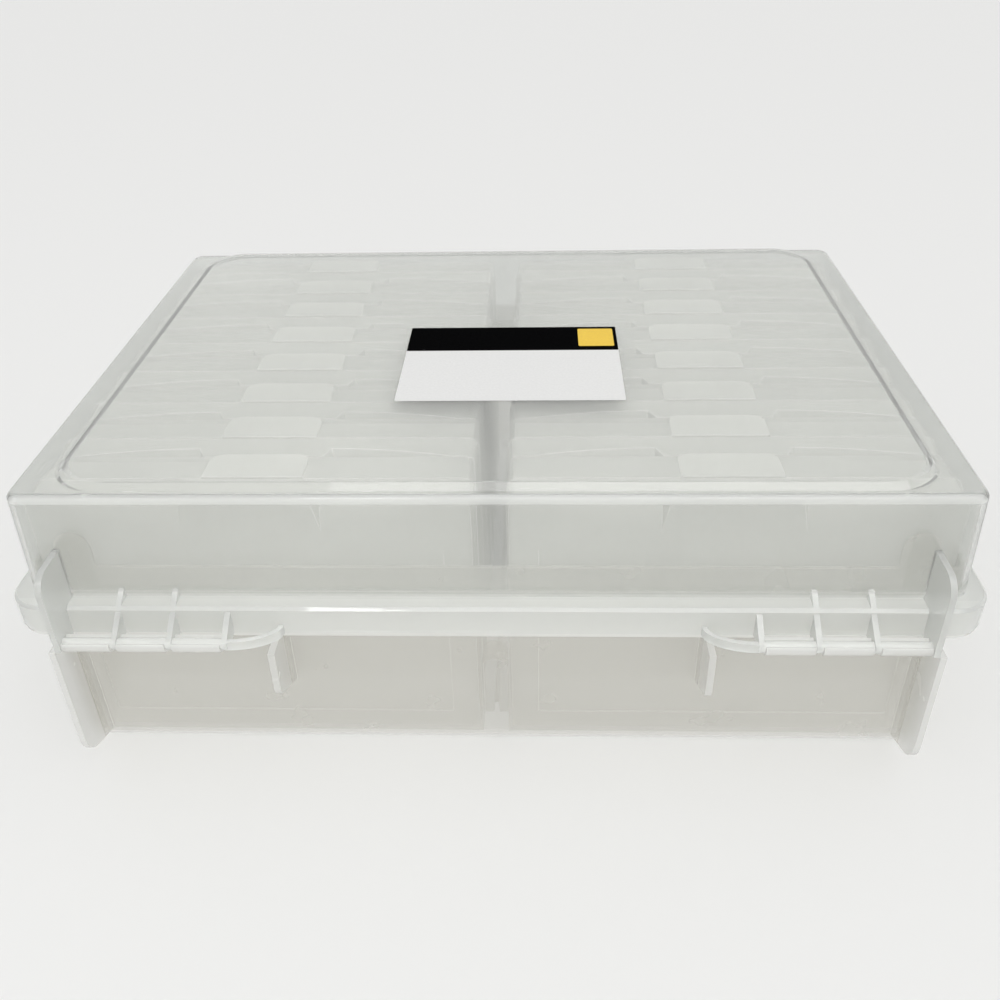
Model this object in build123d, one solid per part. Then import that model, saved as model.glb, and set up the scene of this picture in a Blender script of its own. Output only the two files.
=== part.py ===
from build123d import *
import os
from math import tan, radians, cos, sin

os.makedirs("parts", exist_ok=True)

# All sizes are millimetres. X is the width, +Y the hinge side, -Y the handle side, Z is up.

# Photo cases: shallow boxes that stand on their long edge, in columns and rows
case_width = 171.45
case_height = 120.65
case_thickness = 30.18
case_wall = 1.4
case_corner = 5.0
case_draft = 1.3           # how far the two large faces draw in all round
cover_depth = 12.0
parting_gap = 0.25         # between a case's tray and its cover
columns = 2
rows = 8
column_gap = 11.5
row_gap = 0.45
side_clearance = 0.6       # from the outer cases to the side walls
end_clearance = 1.85       # from the first and last cases to the front and back walls

# Thumb tab and finger scallops along a cover's top edge
tab_width = 47.0
tab_flare = 3.5
scallop_depth = 6.0
scallop_height = 16.0
scallop_end = 5.0          # from the end of the scallop to the side of the case
scallop_bow = 1.32         # how far the scallop's floor rises halfway along
cut_over = 1.0             # how far a cut runs past a surface
pad_width = 39.0
pad_rise = 0.8
pad_corner = 5.0

# Framed panel on the cover's face
panel_side = 12.5
panel_bottom = 10.0
panel_top = 24.0
panel_depth = 0.5

# Hinge of a photo case: one knuckle on the tray between two on the cover
knuckle_radius = 2.0
knuckle_zone = 82.0
knuckle_middle = 40.0
knuckle_gap = 0.3

# Base
base_wall = 2.0
base_floor = 2.2
base_draft = 0.7
floor_corner = 2.5
foot_edge = 1.0
rim_height = 68.4
rim_thickness = 1.7
rim_setback = 0.6          # rim edge behind the lid's skirt
upstand_height = 24.6      # above the rim, inside the lid
upstand_wall = 1.3
upstand_lean = 2.0
ear_width = 14.0
ear_rise = 15.4            # above the upstand
ear_inset = 16.9           # ear's centre from the side of the floor
stack_recess = 0.8         # takes the raised panel of the box below
stack_clearance = 0.5

# Spacers between the columns
spacer_height = 44.0
spacer_reach = 12.0
spacer_clearance = 0.4
spacer_top_flat = 0.2      # left between the two rounds of its top
keel_height = 6.0
keel_thickness = 2.0

# Lid
lid_wall = 1.8
lid_gap = 0.35
lid_draft = 1.8
seat_gap = 0.2             # skirt above the rim
skirt_height = 12.2
flange_overhang = 7.714
flange_edge = 1.2
top_clearance = 1.55       # from the cases to the lid
shoulder_radius = 3.4
panel_rise = 2.4
panel_slope = 3.0
panel_inset_x = 15.8
panel_inset_y = 6.6
top_panel_corner = 18.0

# Feet on the hinge side, on which the closed box stands upright
foot_reach = 20.0          # from the lid's wall to the tips of the feet
fin_thickness = 2.4
base_fin_inset = 9.2       # from the side of the floor
base_fin_root = 4.0        # height of its lower edge at the wall
base_fin_bottom = 12.8     # and at the tip
base_fin_round = 12.0
lid_fin_inset = 12.0
lid_fin_top = 103.0
lid_fin_round = 8.0
small_fin_x = 83.6
small_fin_root = 34.0
small_fin_bottom = 47.5
small_fin_round = 5.0
small_fin_thickness = 2.6

# Lid hinge
rod_radius = 2.0
rod_clearance = 0.25
trough_wall = 1.2
trough_mouth = 120.0       # opening angle of a trough
axis_above_rim = 2.2
foot_clearance = 0.3       # hinge behind the tips of the feet
rib_count = 3
rib_pitch = 21.4
rib_thickness = 2.2
rib_boss = 2.6
rib_root = 0.2             # lap of a rib's web into the boss, and of the end web into the skirt
trough_side_gap = 0.4
shelf_thickness = 1.7
shelf_back = 4.5           # edge of the shelf from the axis
end_web_length = 21.0
end_web_thickness = 2.0
gusset_rise = 4.0

# Latches
latch_x = 92.0
latch_width = 46.0
latch_thickness = 2.2
latch_drop = 22.0          # from the pin to the finger lip
latch_lip = 4.0
latch_lip_height = 5.0
latch_gap = 0.7            # from the skirt to the latch
latch_axis_drop = 4.4      # pin below the flange
pin_radius = 1.5
pin_clearance = 0.25
barrel_radius = 3.0
lug_thickness = 3.0
lug_radius = 3.2
lug_gap = 0.3
tooth_height = 2.4
tooth_slope = 0.6
tooth_clearance = 0.3
grip_rib = 0.6
grip_share = 0.6           # of the latch's width
grip_pitch = 2.4
grip_count = 3

# Carry handle
handle_reach = 30.3        # from the base's wall at the rim
handle_width = 124.0
handle_taper = 7.0
handle_height = 11.0
handle_corner = 12.0
handle_bar = 9.0
handle_slot_width = 92.0
handle_slot_corner = 7.0
handle_slot_start = 2.0    # from the base's wall
handle_wall = 2.2
notch_width = 116.0        # relief of the lid's flange above the handle
notch_depth = 4.2

# Derived places
floor_x = (columns * case_width + (columns - 1) * column_gap) / 2 + side_clearance
floor_y = (rows * case_thickness + (rows - 1) * row_gap) / 2 + end_clearance
rim_offset = base_wall + rim_height * tan(radians(base_draft))
upstand_top = rim_height + upstand_height
ear_top = upstand_top + ear_rise
ear_top_offset = rim_offset - (ear_top - rim_height) * tan(radians(upstand_lean))
lid_offset = rim_offset + lid_gap + lid_wall
flange_offset = lid_offset + flange_overhang
skirt_bottom = rim_height + seat_gap
flange_top = skirt_bottom + skirt_height
flange_under = flange_top - lid_wall
shoulder_z = base_floor + case_height + top_clearance + lid_wall
shoulder_offset = lid_offset - (shoulder_z - flange_under) * tan(radians(lid_draft))
wall_y = floor_y + lid_offset            # lid's back wall at the flange
skirt_y = floor_y + flange_offset
foot_y = wall_y + foot_reach
trough_radius = rod_radius + rod_clearance + trough_wall
axis_y = foot_y - foot_clearance - trough_radius
axis_z = rim_height + axis_above_rim
lid_fin_x = floor_x - lid_fin_inset
base_fin_x = floor_x - base_fin_inset
front_y = floor_y + rim_offset + handle_reach
body_y = (front_y - foot_y) / 2          # puts the origin under the middle of the whole
stack_spread = stack_clearance + panel_slope * stack_recess / panel_rise


def outline(offset):
    """Plan outline of the box, offset outwards from the floor's edge."""
    return RectangleRounded(2 * (floor_x + offset), 2 * (floor_y + offset), floor_corner + offset)


def tapered(offset_low, z_low, offset_high, z_high):
    """Drafted block between two plan outlines."""
    low = Pos(0, 0, z_low) * outline(offset_low)
    high = Pos(0, 0, z_high) * outline(offset_high)
    return loft([low, high], ruled=True)


def side_plate(x, thickness, face):
    """Plate that lies in a Y-Z plane; its face is drawn as (y, z)."""
    return extrude(Plane.YZ.offset(x) * face, amount=thickness / 2, both=True)


def front_slab(face, y_low, y_high):
    """Slab between two Y planes; its face is drawn as (x, z)."""
    return extrude(Plane.XZ.offset(-y_high) * face, amount=y_high - y_low)


def along_x(radius, x_low, x_high, y, z):
    """Round bar along X."""
    return Pos((x_low + x_high) / 2, y, z) * Rot(0, 90, 0) * Cylinder(radius, x_high - x_low)


def both_sides(part):
    """The part and its mirror image across the middle of the box."""
    return part + mirror(part, Plane.YZ)


def top_panel(inset, z_low, rise):
    """Raised panel of the lid, with sloping sides."""
    half_x = floor_x + shoulder_offset - panel_inset_x - inset
    half_y = floor_y + shoulder_offset - panel_inset_y - inset
    high = RectangleRounded(2 * half_x, 2 * half_y, top_panel_corner)
    low_x = half_x + panel_slope
    low_y = half_y + panel_slope
    low = RectangleRounded(2 * low_x, 2 * low_y, top_panel_corner + panel_slope)
    return loft([Pos(0, 0, z_low) * low, Pos(0, 0, z_low + rise) * high], ruled=True)


def make_handle():
    """Moulded carry loop in front of the base, hollow from below."""
    root_y = -floor_y - rim_offset + base_wall / 2
    half = handle_width / 2
    front_half = half - handle_taper
    shape = Polygon((-half, root_y), (half, root_y), (front_half, -front_y),
                    (-front_half, -front_y), align=None)
    shape = fillet(shape.vertices().group_by(Axis.Y)[0], handle_corner)
    slot_near = -floor_y - rim_offset - handle_slot_start
    slot_far = handle_bar - front_y
    slot = Pos(0, (slot_near + slot_far) / 2) * RectangleRounded(
        handle_slot_width, slot_near - slot_far, handle_slot_corner
    )
    loop = Pos(0, 0, rim_height - handle_height) * extrude(shape - slot, handle_height)
    hollow = offset(shape, -handle_wall) - offset(slot, handle_wall)
    return loop - Pos(0, 0, rim_height - handle_height) * extrude(hollow, handle_height - handle_wall), slot


def make_trough(x):
    """Open trough that grips the lid's rod from below, on its shelf."""
    half = (rib_pitch - rib_thickness) / 2 - trough_side_gap
    turn = radians(90 - trough_mouth / 2)
    reach = 2 * trough_radius
    ring = Circle(trough_radius) - Circle(rod_radius + rod_clearance)
    mouth = Polygon((0, 0), (reach * cos(turn), reach * sin(turn)), (reach * cos(turn), 2 * reach),
                    (-reach * cos(turn), 2 * reach), (-reach * cos(turn), reach * sin(turn)), align=None)
    foot_low = rim_height - shelf_thickness - axis_z
    foot = Pos(-shelf_back / 2, foot_low + shelf_thickness / 2) * Rectangle(shelf_back, shelf_thickness)
    bore = Circle(rod_radius + rod_clearance)
    return side_plate(x, 2 * half, Pos(axis_y, axis_z) * ((ring - mouth) + (foot - bore)))


def foot_face(root_y, root_low, tip_low, corner):
    """Side of a foot of the base, drawn as (y, z), with its lower corner rounded."""
    face = Polygon((root_y, root_low), (foot_y, tip_low), (foot_y, rim_height),
                   (root_y, rim_height), align=None)
    return fillet(face.vertices().sort_by(Axis.Y)[:2].sort_by(Axis.X)[-1:], corner)


def make_base():
    """Milky tray with its rim, upstand, hinge troughs, feet and handle."""
    foot_offset = base_wall + foot_edge * tan(radians(base_draft))
    shell = tapered(base_wall - foot_edge, 0, foot_offset, foot_edge)
    shell += tapered(foot_offset, foot_edge, rim_offset, rim_height)
    rim = Pos(0, 0, rim_height - rim_thickness) * extrude(outline(flange_offset - rim_setback), rim_thickness)
    handle, slot = make_handle()

    # Upstand inside the lid, cut level except for an ear near each hinge-side corner
    upstand = tapered(rim_offset, rim_height, ear_top_offset, ear_top)
    level = Pos(0, 0, rim_height) * extrude(outline(rim_offset), upstand_height)
    ear_x = floor_x - ear_inset
    ear_radius = ear_width / 2
    ear_face = Pos(ear_x, ear_top - ear_radius) * Circle(ear_radius)
    ear_face += Pos(ear_x, (rim_height + ear_top - ear_radius) / 2) * Rectangle(
        ear_width, ear_top - ear_radius - rim_height
    )
    ears = both_sides(front_slab(ear_face, 0, floor_y + rim_offset))
    upstand = upstand & (level + ears)

    # Feet and hinge on the back
    root_y = floor_y + rim_offset - base_wall
    fin_face = foot_face(root_y, base_fin_root, base_fin_bottom, base_fin_round)
    fins = side_plate(base_fin_x, fin_thickness, fin_face)
    small_face = foot_face(root_y, small_fin_root, small_fin_bottom, small_fin_round)
    fins += side_plate(small_fin_x, small_fin_thickness, small_face)

    shelf_out = lid_fin_x - fin_thickness / 2 - trough_side_gap
    shelf_in = lid_fin_x - rib_count * rib_pitch
    shelf_depth = axis_y - shelf_back - root_y
    shelf = Pos((shelf_out + shelf_in) / 2, root_y + shelf_depth / 2, rim_height - shelf_thickness / 2)
    hinge = shelf * Box(shelf_out - shelf_in, shelf_depth, shelf_thickness)
    for index in range(rib_count):
        hinge += make_trough(lid_fin_x - (index + 0.5) * rib_pitch)

    cavity = tapered(0, base_floor, rim_offset - base_wall, rim_height)
    cavity += tapered(rim_offset - base_wall, rim_height, ear_top_offset - upstand_wall, ear_top)
    stack = top_panel(-stack_spread, -panel_rise + stack_recess, panel_rise)
    finger_slot = Pos(0, 0, rim_height - handle_height) * extrude(slot, handle_height)

    base = shell + rim + handle + upstand + both_sides(fins + hinge)
    base = base - cavity - finger_slot - stack

    # Spacers keep the columns apart at both ends, a low keel between them
    spacer_width = column_gap - 2 * spacer_clearance
    face = Pos(0, (base_floor + spacer_height) / 2) * Rectangle(spacer_width, spacer_height - base_floor)
    face = fillet(face.vertices().group_by(Axis.Y)[-1], (spacer_width - spacer_top_flat) / 2)
    inner_y = floor_y + base_wall / 2
    spacers = front_slab(face, inner_y - spacer_reach, inner_y)
    spacers += front_slab(face, -inner_y, spacer_reach - inner_y)
    keel = Pos(0, 0, base_floor + keel_height / 2) * Box(keel_thickness, 2 * floor_y, keel_height)
    return base + spacers + keel


def make_lid():
    """Clear cover with raised panel, flange, skirt, hinge rods, feet and latch lugs."""
    body = tapered(lid_offset, flange_under, shoulder_offset, shoulder_z)
    body = fillet(body.edges().group_by(Axis.Z)[-1], shoulder_radius)
    inner = tapered(lid_offset - lid_wall, flange_under, shoulder_offset - lid_wall, shoulder_z - lid_wall)
    inner += top_panel(lid_wall, shoulder_z - lid_wall, panel_rise)

    notch = Pos(0, -skirt_y) * Rectangle(notch_width, 2 * notch_depth)
    flange_shape = outline(flange_offset) - notch
    flange = Pos(0, 0, skirt_bottom) * extrude(flange_shape, skirt_height)
    flange = chamfer(flange.edges().group_by(Axis.Z)[-1], flange_edge)
    channel = Pos(0, 0, skirt_bottom) * extrude(offset(flange_shape, -lid_wall), flange_under - skirt_bottom)

    lid = body + top_panel(0, shoulder_z, panel_rise) + flange
    lid = lid - channel - inner

    # Feet, hinge rod and its ribs on the back, for one side
    wall_root = wall_y - 0.75 * lid_wall
    skirt_root = skirt_y - lid_wall / 2
    upper = Polygon((wall_root, flange_under), (foot_y, flange_under), (foot_y, lid_fin_top),
                    (wall_root, lid_fin_top), align=None)
    fin_corner = upper.vertices().sort_by(Axis.Y)[-2:].sort_by(Axis.X)[-1:]
    upper = fillet(fin_corner, lid_fin_round)
    lower = Polygon((skirt_root, skirt_bottom), (foot_y, skirt_bottom), (foot_y, flange_top),
                    (skirt_root, flange_top), align=None)
    back = side_plate(lid_fin_x, fin_thickness, upper + lower)
    rod_inner = lid_fin_x - rib_count * rib_pitch - rib_thickness / 2
    back += along_x(rod_radius, rod_inner, lid_fin_x, axis_y, axis_z)
    boss = Pos(axis_y, axis_z) * Circle(rib_boss)
    web = Polygon((skirt_root, skirt_bottom), (skirt_root, flange_top - flange_edge),
                  (axis_y + rib_boss / 3, axis_z + rib_boss - rib_root),
                  (axis_y, skirt_bottom), align=None)
    gusset_out = skirt_y - flange_edge
    gusset = Polygon((wall_root, flange_under), (wall_root, flange_top + gusset_rise),
                     (wall_y, flange_top + gusset_rise), (gusset_out, flange_top),
                     (gusset_out, flange_under), align=None)
    for index in range(1, rib_count + 1):
        rib_x = lid_fin_x - index * rib_pitch
        back += side_plate(rib_x, rib_thickness, boss + web)
        if index < rib_count:
            back += side_plate(rib_x, rib_thickness, gusset)

    # Curved web that closes the inner end of the rod
    web_reach = axis_y - skirt_y + rod_radius
    outer = Ellipse(end_web_length, web_reach)
    inside = Ellipse(end_web_length - end_web_thickness, web_reach - end_web_thickness)
    quarter = Pos(-end_web_length / 2, web_reach / 2) * Rectangle(end_web_length, web_reach)
    curve = (outer - inside) & quarter
    corner = Pos(lid_fin_x - rib_count * rib_pitch, skirt_y - rib_root)
    back += Pos(0, 0, skirt_bottom) * extrude(corner * curve, 2 * (axis_z - skirt_bottom))
    lid += both_sides(back)

    # Lugs that carry the latch stubs
    for side in (-1, 1):
        for end in (-1, 1):
            lug_x = side * latch_x + end * (latch_width / 2 + lug_gap + lug_thickness / 2)
            lid += make_lug(lug_x)
    return lid


def latch_axis():
    """Place of the latch pins in a Y-Z plane."""
    return -skirt_y - lug_gap - barrel_radius, flange_top - latch_axis_drop


def make_lug(x):
    pin_y, pin_z = latch_axis()
    arm = Pos((pin_y - skirt_y + lid_wall / 2) / 2, pin_z) * Rectangle(
        -skirt_y + lid_wall / 2 - pin_y, 2 * lug_radius
    )
    eye = Pos(pin_y, pin_z) * Circle(lug_radius)
    hole = Pos(pin_y, pin_z) * Circle(pin_radius + pin_clearance)
    return side_plate(x, lug_thickness, arm + eye - hole)


def make_latch(x):
    """Snap latch: barrel with two stubs, plate, tooth under the rim and finger lip."""
    pin_y, pin_z = latch_axis()
    inner_y = -skirt_y - latch_gap
    outer_y = inner_y - latch_thickness
    low_z = pin_z - latch_drop
    half = latch_width / 2
    latch = along_x(barrel_radius, x - half, x + half, pin_y, pin_z)
    pin_half = half + lug_gap + lug_thickness
    latch += along_x(pin_radius, x - pin_half, x + pin_half, pin_y, pin_z)
    tooth_top = rim_height - rim_thickness - tooth_clearance
    tooth_tip = -skirt_y + rim_setback - tooth_clearance
    profile = Polygon((outer_y, pin_z), (inner_y, pin_z), (inner_y, tooth_top),
                      (tooth_tip, tooth_top - tooth_slope),
                      (inner_y, tooth_top - tooth_height), (inner_y, low_z + latch_lip_height),
                      (inner_y - latch_lip, low_z), (outer_y - latch_lip, low_z),
                      (outer_y, low_z + latch_lip_height), align=None)
    latch += side_plate(x, latch_width, profile)
    for index in range(grip_count):
        grip_z = low_z + latch_lip_height + (index + 1) * grip_pitch
        latch += Pos(x, outer_y - grip_rib / 2, grip_z) * Box(grip_share * latch_width, grip_rib, grip_rib)
    return latch


def case_outline(inset):
    """Front outline of a photo case, drawn in from its mouth and rounded at the top corners."""
    shape = Rectangle(case_width - 2 * inset, case_height - pad_rise - 2 * inset)
    return fillet(shape.vertices().group_by(Axis.Y)[-1], case_corner - inset)


def case_block(y_mouth, y_face):
    """Drafted outer block of one part of a photo case, from its mouth to its large face."""
    middle = (case_height - pad_rise) / 2
    upright = Rot(90, 0, 0)
    return loft([Pos(0, y_mouth, middle) * upright * case_outline(0),
                 Pos(0, y_face, middle) * upright * case_outline(case_draft)], ruled=True)


def case_cavity(y_mouth, y_face):
    """Inside of one part of a photo case."""
    height = case_height - pad_rise
    inset = case_wall + case_draft
    depth = abs(y_mouth - y_face)
    middle = Pos(0, (y_mouth + y_face) / 2, height / 2)
    return middle * Box(case_width - 2 * inset, depth, height - 2 * inset)


def scallops(depth_shift):
    """Cuts on both sides of the thumb tab, fading out downwards."""
    front = case_thickness / 2
    end_x = case_width / 2 - scallop_end
    near_x = tab_width / 2
    face_y = front - depth_shift
    deep_y = face_y - scallop_depth
    far_y = front + scallop_depth
    arch = ThreePointArc((near_x + tab_flare, deep_y), ((near_x + end_x) / 2, deep_y + scallop_bow),
                         (end_x, face_y))
    edges = arch + Polyline((end_x, face_y), (end_x + cut_over, far_y), (near_x, far_y), (near_x, face_y),
                            (near_x + tab_flare, deep_y))
    face = Pos(0, 0, case_height + cut_over) * make_face(edges)
    drop = scallop_height + cut_over
    shift = scallop_depth * drop / scallop_height
    length = (shift ** 2 + drop ** 2) ** 0.5
    wedge = extrude(face, amount=length, dir=(0, shift, -drop))
    return both_sides(wedge)


def hinge_notch(y_axis):
    """Room for the knuckles in the bottom edge of a case's two parts."""
    reach = knuckle_radius + knuckle_gap
    width = knuckle_zone + 2 * knuckle_gap
    return Pos(0, y_axis, reach - knuckle_gap) * Box(width, 2 * reach, 2 * reach)


def knuckle(x_low, x_high, y_axis, side):
    """Barrel with a web towards the part that carries it: side 1 is the cover, -1 the tray."""
    round_face = Pos(y_axis, knuckle_radius) * RegularPolygon(knuckle_radius, 8, rotation=22.5)
    barrel = side_plate((x_low + x_high) / 2, x_high - x_low, round_face)
    reach = knuckle_radius + knuckle_gap + case_wall / 2
    web = Pos((x_low + x_high) / 2, y_axis + side * reach / 2, case_wall / 2)
    return barrel + web * Box(x_high - x_low, reach, case_wall)


def make_case_cover():
    """Near part of a photo case, with the thumb tab, the framed panel and two knuckles."""
    front = case_thickness / 2
    back = front - cover_depth
    height = case_height - pad_rise
    shell = case_block(back, front) - scallops(0)
    cavity = case_cavity(back, front - case_wall) - scallops(case_wall)
    panel_height = height - panel_bottom - panel_top
    panel = Pos(0, panel_bottom + panel_height / 2) * Rectangle(case_width - 2 * panel_side, panel_height)
    cover = shell - cavity - front_slab(panel, front - panel_depth, front) - hinge_notch(back)
    inner_end = knuckle_middle / 2 + knuckle_gap
    return cover + both_sides(knuckle(inner_end, knuckle_zone / 2, back, 1))


def make_case_tray():
    """Far part of a photo case, with the raised pad behind the thumb tab."""
    back = -case_thickness / 2
    front = case_thickness / 2 - cover_depth - parting_gap
    height = case_height - pad_rise
    shell = case_block(front, back)
    cavity = case_cavity(front, back + case_wall)
    pad_depth = front - back - case_wall
    pad = Pos(0, front - pad_depth / 2) * Rectangle(pad_width, pad_depth)
    pad = fillet(pad.vertices().group_by(Axis.Y)[0], pad_corner)
    pad = Pos(0, 0, height - case_draft) * extrude(pad, pad_rise + case_draft)
    axis = case_thickness / 2 - cover_depth
    middle = knuckle(-knuckle_middle / 2, knuckle_middle / 2, axis, -1)
    return shell + pad - cavity - hinge_notch(axis) + middle


def save(shape, name):
    export_step(Pos(0, body_y, 0) * shape, f"parts/{name}.step")


save(make_base(), "base_tray")
save(make_lid(), "lid")
save(make_latch(-latch_x), "latch_left")
save(make_latch(latch_x), "latch_right")

tray = make_case_tray()
cover = make_case_cover()
for column in range(columns):
    for row in range(rows):
        case_x = (column - (columns - 1) / 2) * (case_width + column_gap)
        case_y = (row - (rows - 1) / 2) * (case_thickness + row_gap)
        seat = Pos(case_x, case_y, base_floor)
        number = column * rows + row + 1
        save(seat * tray, f"photo_case_{number:02d}_tray")
        save(seat * cover, f"photo_case_{number:02d}_cover")
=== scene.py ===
import math

import bpy
from mathutils import Matrix, Vector


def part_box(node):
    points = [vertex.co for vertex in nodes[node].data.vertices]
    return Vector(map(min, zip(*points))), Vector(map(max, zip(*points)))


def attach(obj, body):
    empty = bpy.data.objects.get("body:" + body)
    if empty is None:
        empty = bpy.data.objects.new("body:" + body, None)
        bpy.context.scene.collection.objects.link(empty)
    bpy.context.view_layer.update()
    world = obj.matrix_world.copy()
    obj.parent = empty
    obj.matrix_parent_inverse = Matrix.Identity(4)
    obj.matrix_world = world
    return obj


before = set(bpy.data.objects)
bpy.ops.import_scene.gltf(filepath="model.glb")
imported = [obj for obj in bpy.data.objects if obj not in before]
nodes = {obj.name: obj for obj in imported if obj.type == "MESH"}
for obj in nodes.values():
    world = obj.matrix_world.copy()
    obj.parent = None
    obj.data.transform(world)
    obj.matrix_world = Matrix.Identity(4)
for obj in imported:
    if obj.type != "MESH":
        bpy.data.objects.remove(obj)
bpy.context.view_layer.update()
scene = bpy.context.scene
bpy.ops.object.select_all(action="DESELECT")


# small helpers for node trees

noiseSpan = (0.3, 0.7)      # noise values at which a pattern's first and second finish are reached


def newMaterial(name):
    mat = bpy.data.materials.new(name)
    mat.use_nodes = True
    tree = mat.node_tree
    tree.nodes.clear()
    out = tree.nodes.new("ShaderNodeOutputMaterial")
    bsdf = tree.nodes.new("ShaderNodeBsdfPrincipled")
    tree.links.new(bsdf.outputs["BSDF"], out.inputs["Surface"])
    return mat, tree, bsdf


def objectCoord(tree):
    return tree.nodes.new("ShaderNodeTexCoord").outputs["Object"]


def addNoise(tree, coord, scale, detail, roughness=0.5):
    noise = tree.nodes.new("ShaderNodeTexNoise")
    noise.inputs["Scale"].default_value = scale
    noise.inputs["Detail"].default_value = detail
    noise.inputs["Roughness"].default_value = roughness
    tree.links.new(coord, noise.inputs["Vector"])
    return noise.outputs["Fac"]


def addRange(tree, value, low, high, toLow, toHigh):
    node = tree.nodes.new("ShaderNodeMapRange")
    ends = {"From Min": low, "From Max": high, "To Min": toLow, "To Max": toHigh}
    for socket, number in ends.items():
        node.inputs[socket].default_value = number
    tree.links.new(value, node.inputs["Value"])
    return node.outputs["Result"]


def addMath(tree, operation, *values):
    node = tree.nodes.new("ShaderNodeMath")
    node.operation = operation
    for socket, value in zip(node.inputs, values):
        tree.links.new(value, socket)
    return node.outputs["Value"]


def setColour(tree, bsdf, noise, *colours):
    ramp = tree.nodes.new("ShaderNodeValToRGB")
    for stop, colour, place in zip(ramp.color_ramp.elements, colours, noiseSpan):
        stop.color = (*colour, 1)
        stop.position = place
    tree.links.new(noise, ramp.inputs["Fac"])
    tree.links.new(ramp.outputs["Color"], bsdf.inputs["Base Color"])
    return ramp


def setRough(tree, bsdf, noise, rough):
    tree.links.new(addRange(tree, noise, *noiseSpan, *rough), bsdf.inputs["Roughness"])


# moulded plastics: a clear lid and latches, and a tray and cases whose walls are a pale veil
# low and high are a wall's colours, rim is the whiter colour painted on its rounded edges as a highlight,
# and shade is what it passes of a lamp

plastics = {
    "clearLid": dict(
        low=(0.82, 0.83, 0.81), high=(0.86, 0.87, 0.85), clear=0.84, alpha=1.0,
        rough=(0.03, 0.08), cloud=5.0, shade=0.985, ior=1.40,
        rim=(0.91, 0.92, 0.90), rimClear=0.68, rimAlpha=1.0, milky=0.58,
    ),
    "clearLatch": dict(
        low=(0.84, 0.84, 0.82), high=(0.89, 0.89, 0.87), clear=0.45, alpha=1.0,
        rough=(0.08, 0.16), cloud=20.0, shade=0.92, ior=1.40,
        rim=(0.93, 0.94, 0.92), rimClear=0.35, rimAlpha=1.0,
    ),
    "milkyBase": dict(
        low=(0.61, 0.60, 0.55), high=(0.65, 0.64, 0.59), clear=0.0, alpha=0.36,
        rough=(0.16, 0.28), cloud=5.0, shade=0.985, ior=1.50,
        rim=(0.86, 0.85, 0.81), rimClear=0.0, rimAlpha=0.60,
        ribY=(0.1372, 0.1392), floorZ=(0.0030, 0.0024), ribColour=(0.79, 0.79, 0.77), ribAlpha=0.50,
    ),
    "frostedCase": dict(
        low=(0.78, 0.78, 0.75), high=(0.82, 0.82, 0.79), clear=0.0, alpha=0.34,
        rough=(0.12, 0.22), cloud=12.0, shade=0.993, ior=1.55,
        rim=(0.93, 0.93, 0.91), rimClear=0.0, rimAlpha=0.80,
        padZ=(0.12220, 0.12260), padAlpha=0.60,
    ),
}
# where the lid turns milky: flange and skirt below, ribs behind, and a painted highlight line, less clear
# and so whiter, along its two long shoulders
haze = dict(flangeZ=(0.0805, 0.0845), ribY=(0.1326, 0.1350), shoulderY=(-0.1236, 0.1317),
            shoulderEdge=(0.980, 0.988), shoulderZ=(0.1222, 0.1230), shoulderHighlightClear=0.50)
# grains of the plastics' gloss, in noise scale, and the share of the painted rim highlight's colour at its
# dark specks
grain = dict(wear=60.0, wearRough=0.6, speck=180.0, detail=2.0, rimDark=0.96)


def hazeLid(tree, bsdf, split, facts):
    height, depth = split.outputs["Z"], split.outputs["Y"]
    above = addRange(tree, height, *haze["flangeZ"], 0.0, 1.0)
    inside = addRange(tree, depth, *haze["ribY"], 1.0, 0.0)
    wall = addMath(tree, "MINIMUM", above, inside)
    wallClear = addRange(tree, wall, 0.0, 1.0, facts["milky"], facts["clear"])
    # painted highlight: a less clear, whiter line along both long shoulders near their top
    side = addMath(tree, "ABSOLUTE", addRange(tree, depth, *haze["shoulderY"], -1.0, 1.0))
    outer = addRange(tree, side, *haze["shoulderEdge"], 0.0, 1.0)
    top = addRange(tree, height, *haze["shoulderZ"], 0.0, 1.0)
    shoulderHighlight = addMath(tree, "MULTIPLY", outer, top)
    shoulderHighlightClear = addRange(tree, shoulderHighlight, 0.0, 1.0, 1.0, haze["shoulderHighlightClear"])
    clarity = addMath(tree, "MINIMUM", wallClear, shoulderHighlightClear)
    tree.links.new(clarity, bsdf.inputs["Transmission Weight"])


def whitenRibs(tree, bsdf, split, facts, cloud, ramp):
    # the tray's standing ribs and its bottom are whiter than its walls
    ramp.color_ramp.elements.new(1.0).color = (*facts["ribColour"], 1)
    rib = addRange(tree, split.outputs["Y"], *facts["ribY"], 0.0, 1.0)
    under = addRange(tree, split.outputs["Z"], *facts["floorZ"], 0.0, 1.0)
    pale = addMath(tree, "MAXIMUM", rib, under)
    tree.links.new(addMath(tree, "MAXIMUM", cloud, pale), ramp.inputs["Fac"])
    veil = addRange(tree, rib, 0.0, 1.0, facts["alpha"], facts["ribAlpha"])
    tree.links.new(veil, bsdf.inputs["Alpha"])


def whitenPads(tree, bsdf, split, facts):
    # the grip pad on a case's top edge is whiter than its walls
    veil = addRange(tree, split.outputs["Z"], *facts["padZ"], facts["alpha"], facts["padAlpha"])
    tree.links.new(veil, bsdf.inputs["Alpha"])


def passLight(tree, bsdf, shade):
    # lamps shine through the wall, a little dimmed
    passed = tree.nodes.new("ShaderNodeBsdfTransparent")
    passed.inputs["Color"].default_value = (shade, shade, shade, 1)
    path = tree.nodes.new("ShaderNodeLightPath")
    pick = tree.nodes.new("ShaderNodeMixShader")
    tree.links.new(path.outputs["Is Shadow Ray"], pick.inputs["Fac"])
    tree.links.new(bsdf.outputs["BSDF"], pick.inputs[1])
    tree.links.new(passed.outputs["BSDF"], pick.inputs[2])
    tree.links.new(pick.outputs["Shader"], tree.nodes["Material Output"].inputs["Surface"])


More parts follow.
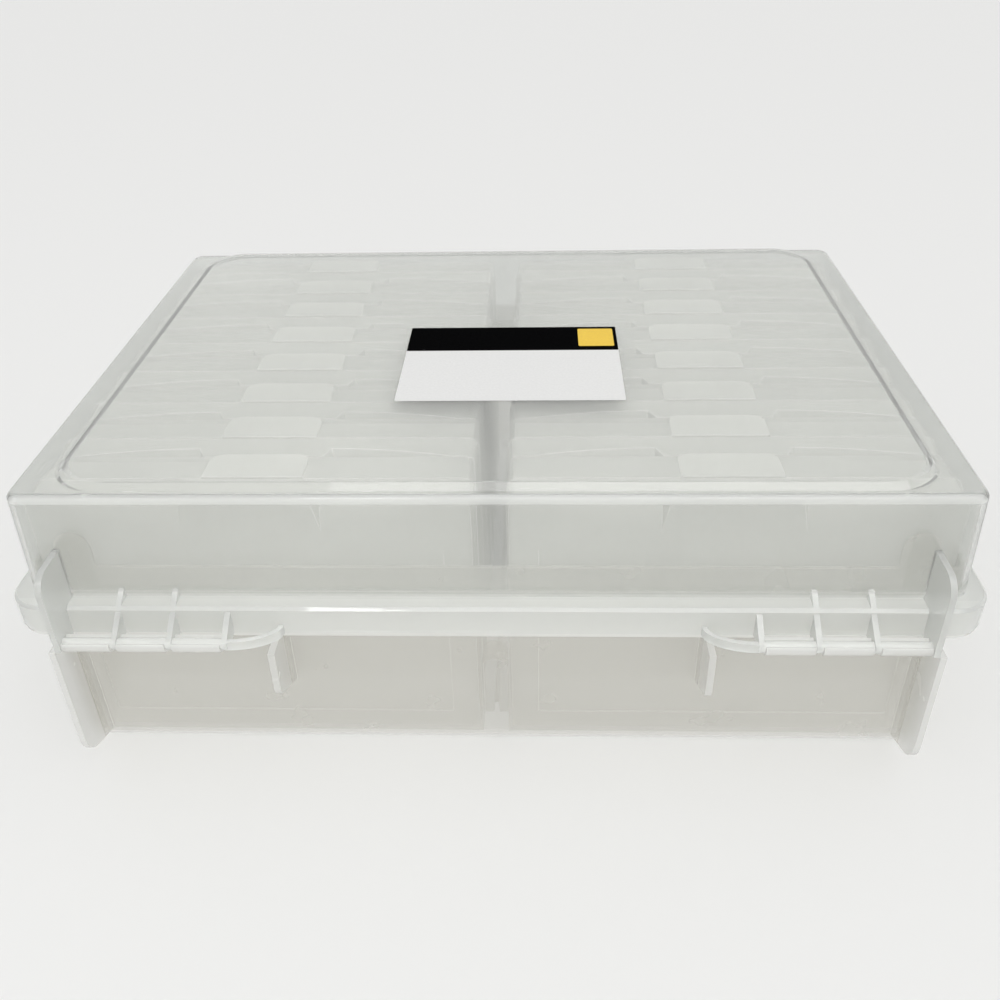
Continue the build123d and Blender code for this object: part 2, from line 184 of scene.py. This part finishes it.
def makePlastic(name):
    facts = plastics[name]
    mat, tree, bsdf = newMaterial(name)
    coord = objectCoord(tree)
    cloud = addNoise(tree, coord, facts["cloud"], grain["detail"])
    ramp = setColour(tree, bsdf, cloud, facts["low"], facts["high"])
    wear = addNoise(tree, coord, grain["wear"], grain["detail"], grain["wearRough"])
    setRough(tree, bsdf, wear, facts["rough"])
    bsdf.inputs["Alpha"].default_value = facts["alpha"]
    bsdf.inputs["Transmission Weight"].default_value = facts["clear"]
    bsdf.inputs["IOR"].default_value = facts["ior"]
    split = tree.nodes.new("ShaderNodeSeparateXYZ")
    tree.links.new(coord, split.inputs["Vector"])
    if "milky" in facts:
        hazeLid(tree, bsdf, split, facts)
    if "ribY" in facts:
        whitenRibs(tree, bsdf, split, facts, cloud, ramp)
    if "padZ" in facts:
        whitenPads(tree, bsdf, split, facts)
    passLight(tree, bsdf, facts["shade"])
    return mat


def makeRimHighlight(name):
    # painted highlight: rounded edges get a whiter, less clear colour than the wall beside them, standing
    # in for the light they gather
    facts = plastics[name]
    mat, tree, bsdf = newMaterial(name + "Rim")
    speck = addNoise(tree, objectCoord(tree), grain["speck"], grain["detail"])
    setColour(tree, bsdf, speck, [x * grain["rimDark"] for x in facts["rim"]], facts["rim"])
    setRough(tree, bsdf, speck, facts["rough"])
    bsdf.inputs["Alpha"].default_value = facts["rimAlpha"]
    bsdf.inputs["Transmission Weight"].default_value = facts["rimClear"]
    bsdf.inputs["IOR"].default_value = facts["ior"]
    passLight(tree, bsdf, facts["shade"])
    return mat


finishes = {name: (makePlastic(name), makeRimHighlight(name)) for name in plastics}


def finishOf(node):
    if node == "lid":
        return "clearLid"
    if node == "base_tray":
        return "milkyBase"
    if node.startswith("latch"):
        return "clearLatch"
    return "frostedCase"


# moulded edges: each part's facets are joined, and its sharp edges rounded by the width for its finish; the
# rounded faces carry the painted rim highlight

softEdge = dict(merge=0.00002, flat=1.0, turn=36.0, steps=2, rimSlot=1, even=60)
edgeWidth = dict(clearLid=0.0005, milkyBase=0.0005, clearLatch=0.0003, frostedCase=0.0006)


def softenNode(node, width):
    weld = node.modifiers.new("joinFacets", "WELD")
    weld.merge_threshold = softEdge["merge"]
    flat = node.modifiers.new("flatFaces", "DECIMATE")
    flat.decimate_type = "DISSOLVE"
    flat.angle_limit = math.radians(softEdge["flat"])
    soft = node.modifiers.new("softEdges", "BEVEL")
    soft.width = width
    soft.segments = softEdge["steps"]
    soft.limit_method = "ANGLE"
    soft.angle_limit = math.radians(softEdge["turn"])
    soft.material = softEdge["rimSlot"]
    even = node.modifiers.new("evenShading", "WEIGHTED_NORMAL")
    even.weight = softEdge["even"]


for name, node in nodes.items():
    finish = finishOf(name)
    node.data.materials.clear()
    for mat in finishes[finish]:
        node.data.materials.append(mat)
    node.select_set(True)
    bpy.context.view_layer.objects.active = node
    bpy.ops.object.shade_smooth()
    node.select_set(False)
    softenNode(node, edgeWidth[finish])
print("plastics on", len(nodes), "nodes")


# blank paper label on the lid: a dark band across its far third and a plain sticker at one corner

label = dict(
    centre=(-0.0062, 0.0255), size=(0.0972, 0.0742), thick=0.00012, lift=0.00004, corner=0.0006,
    band=0.345, inkThick=0.00001, inkGloss=0.0,
    sticker=(0.0164, 0.0190), stickerAt=(-0.0450, 0.0003), stickerThick=0.00008, stickerCorner=0.0008,
    fibre=900.0, fibreRough=0.6, fibreDetail=3.0, bump=0.12, bumpHeight=0.0001, cornerSteps=4,
)
# each paper's darker and lighter colour, and its roughness
papers = {
    "labelPaper": ((0.74, 0.74, 0.73), (0.79, 0.79, 0.78), (0.40, 0.55)),
    "labelBand": ((0.002, 0.002, 0.0022), (0.004, 0.004, 0.0043), (0.65, 0.80)),
    "stickerPaper": ((0.80, 0.52, 0.03), (0.88, 0.60, 0.05), (0.35, 0.50)),
}


def makePaper(name):
    dark, light, rough = papers[name]
    mat, tree, bsdf = newMaterial(name)
    coord = objectCoord(tree)
    fibre = addNoise(tree, coord, label["fibre"], label["fibreDetail"], label["fibreRough"])
    setColour(tree, bsdf, fibre, dark, light)
    setRough(tree, bsdf, fibre, rough)
    bump = tree.nodes.new("ShaderNodeBump")
    bump.inputs["Strength"].default_value = label["bump"]
    bump.inputs["Distance"].default_value = label["bumpHeight"]
    tree.links.new(fibre, bump.inputs["Height"])
    tree.links.new(bump.outputs["Normal"], bsdf.inputs["Normal"])
    return mat


def addSheet(name, mat, centre, size, z, thick, corner):
    bpy.ops.object.select_all(action="DESELECT")
    bpy.ops.mesh.primitive_plane_add(size=1.0, location=(*centre, z))
    sheet = bpy.context.object
    sheet.name = name
    sheet.scale = (*size, 1)
    bpy.ops.object.transform_apply(location=True, rotation=True, scale=True)
    bpy.ops.object.mode_set(mode="EDIT")
    bpy.ops.mesh.select_all(action="SELECT")
    bpy.ops.mesh.bevel(offset=corner, segments=label["cornerSteps"], affect="VERTICES")
    bpy.ops.object.mode_set(mode="OBJECT")
    solid = sheet.modifiers.new("paperThickness", "SOLIDIFY")
    solid.thickness = thick
    solid.offset = 1
    bpy.ops.object.modifier_apply(modifier=solid.name)
    sheet.data.materials.append(mat)
    return sheet


def makeLabel():
    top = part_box("lid")[1].z + label["lift"]
    paper, ink, gum = (makePaper(name) for name in papers)
    ink.node_tree.nodes["Principled BSDF"].inputs["Specular IOR Level"].default_value = label["inkGloss"]
    (x, y), (width, depth) = label["centre"], label["size"]
    band = depth * label["band"]
    bandAt = (x, y - (depth - band) / 2)
    face = top + label["thick"]
    sheet = addSheet("labelSheet", paper, (x, y), (width, depth), top, label["thick"], label["corner"])
    inked = addSheet("labelInk", ink, bandAt, (width, band), face, label["inkThick"], label["corner"])
    spot = addSheet("labelSticker", gum, label["stickerAt"], label["sticker"], face + label["inkThick"],
                    label["stickerThick"], label["stickerCorner"])
    for piece in (sheet, inked, spot):
        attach(piece, "lid")
    print("label on the lid")


makeLabel()


# floor, air and lamps: seenAir is what the camera, gloss and clear plastic see of the air

studio = dict(
    floorColour=(0.83, 0.83, 0.82), floorRough=0.8, floorSize=16.0, floorDrop=0.0003,
    airColour=(1, 1, 1, 1), airLight=0.64, seenAir=0.74,
    sunLevel=0.32, sunTilt=(-24, -14), sunSpread=50,
)
# each lamp's place, the point that it faces, its width and height, and its power
lamps = {
    "windowPanel": ((0.27, 0.95, 1.00), (0.06, 0.14, 0.08), (0.17, 0.07), 0.6),
    "tubeLamp": ((0.10, 1.10, 1.00), (0, 0.1, 0.08), (1.5, 0.014), 1.5),
    "frontPanel": ((0.25, 1.7, 0.55), (0, 0.1, 0.05), (1.6, 0.8), 0.8),
}


def makeFloor():
    mat, tree, bsdf = newMaterial("paleFloor")
    bsdf.inputs["Base Color"].default_value = (*studio["floorColour"], 1)
    bsdf.inputs["Roughness"].default_value = studio["floorRough"]
    bpy.ops.object.select_all(action="DESELECT")
    bpy.ops.mesh.primitive_plane_add(size=studio["floorSize"], location=(0, 0, -studio["floorDrop"]))
    floor = bpy.context.object
    floor.name = "floorSheet"
    floor.data.materials.append(mat)


def makeAir():
    world = bpy.data.worlds.new("studioAir")
    scene.world = world
    world.use_nodes = True
    air = world.node_tree
    lit = air.nodes["Background"]
    seen = air.nodes.new("ShaderNodeBackground")
    for shader, level in ((lit, studio["airLight"]), (seen, studio["seenAir"])):
        shader.inputs["Color"].default_value = studio["airColour"]
        shader.inputs["Strength"].default_value = level
    rays = air.nodes.new("ShaderNodeLightPath").outputs
    pick = air.nodes.new("ShaderNodeMixShader")
    straight = addMath(air, "MAXIMUM", rays["Is Camera Ray"], rays["Is Transmission Ray"])
    air.links.new(addMath(air, "MAXIMUM", straight, rays["Is Glossy Ray"]), pick.inputs["Fac"])
    air.links.new(lit.outputs["Background"], pick.inputs[1])
    air.links.new(seen.outputs["Background"], pick.inputs[2])
    air.links.new(pick.outputs["Shader"], air.nodes["World Output"].inputs["Surface"])


def addLight(name, kind):
    light = bpy.data.lights.new(name, kind)
    holder = bpy.data.objects.new(name, light)
    scene.collection.objects.link(holder)
    return light, holder


def addSun():
    sun, holder = addLight("softDaylight", "SUN")
    tiltX, tiltY = (math.radians(x) for x in studio["sunTilt"])
    sun.angle = math.radians(studio["sunSpread"])
    sun.energy = studio["sunLevel"] * math.pi / (math.cos(tiltX) * math.cos(tiltY))
    holder.rotation_euler = (tiltX, tiltY, 0)


def addLamp(name):
    place, aim, size, power = lamps[name]
    lamp, holder = addLight(name, "AREA")
    lamp.shape = "RECTANGLE"
    lamp.size, lamp.size_y = size
    lamp.energy = power
    holder.location = place
    holder.rotation_euler = (Vector(aim) - Vector(place)).to_track_quat("-Z", "Y").to_euler()


makeFloor()
makeAir()
addSun()
for name in lamps:
    addLamp(name)
print("floor, air and", len(lamps) + 1, "lamps")


# camera: fitted to the photograph, hinge side near

shot = dict(
    place=(-0.01848, 0.43590, 0.32748),
    right=(-0.99925, -0.03188, -0.02208),
    up=(-0.00069, -0.55467, 0.83207),
    forward=(0.03877, -0.83146, -0.55423),
    lens=36.200, sensor=36.0, near=0.01,
)


def makeCamera():
    data = bpy.data.cameras.new("shotCamera")
    camera = bpy.data.objects.new("shotCamera", data)
    scene.collection.objects.link(camera)
    data.sensor_width = shot["sensor"]
    data.lens = shot["lens"]
    data.clip_start = shot["near"]
    turn = Matrix((shot["right"], shot["up"], [-x for x in shot["forward"]])).transposed()
    camera.matrix_world = Matrix.Translation(shot["place"]) @ turn.to_4x4()
    scene.camera = camera


makeCamera()
print("camera")

scene.view_settings.view_transform = "Standard"
bounces = dict(clear=64, all=24, through=20)        # many thin walls lie behind one another
scene.cycles.transparent_max_bounces = bounces["clear"]
scene.cycles.max_bounces = bounces["all"]
scene.cycles.transmission_bounces = bounces["through"]
